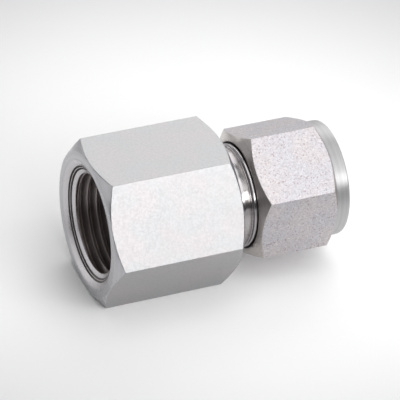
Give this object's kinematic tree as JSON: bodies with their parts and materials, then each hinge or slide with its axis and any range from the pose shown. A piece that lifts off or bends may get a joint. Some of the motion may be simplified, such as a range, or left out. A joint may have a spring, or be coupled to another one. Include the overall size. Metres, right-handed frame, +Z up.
{
  "type": "female tube connector",
  "caption": "Straight hexagonal tube fitting: a female pipe thread at one end, and at the other a nut with ferrules that grips and seals a plain tube.",
  "frame": {"origin": "centre of the end face round the pipe thread, on the fitting's axis", "axes": "+X along the axis from the pipe thread to the tube end, +Z up, square to the hexagon flat that the part lies on, +Y completes the right-handed frame"},
  "size_m": [0.0473, 0.0312, 0.027],
  "materials": {
    "body_steel": "satin",
    "nut_steel": "satin",
    "ferrule_steel": "polished"
  },
  "bodies": {
    "fitting_body": {"body": "body_steel"},
    "ferrules": {"front_ferrule": "ferrule_steel", "back_ferrule": "ferrule_steel"},
    "nut": {"nut": "nut_steel"}
  },
  "joints": [
    {"name": "nut_advance", "type": "slide", "parent": "fitting_body", "child": "ferrules", "axis": [1, 0, 0], "range_m": [0, 0.0051]},
    {"name": "nut_turn", "type": "hinge", "parent": "ferrules", "child": "nut", "pos_m": [0.0383, 0, 0], "axis": [1, 0, 0], "range_deg": [0, 1440]}
  ],
  "couplings": [
    {"joint": "nut_advance", "follows": "nut_turn", "m_per_rad": 0.00020213}
  ]
}
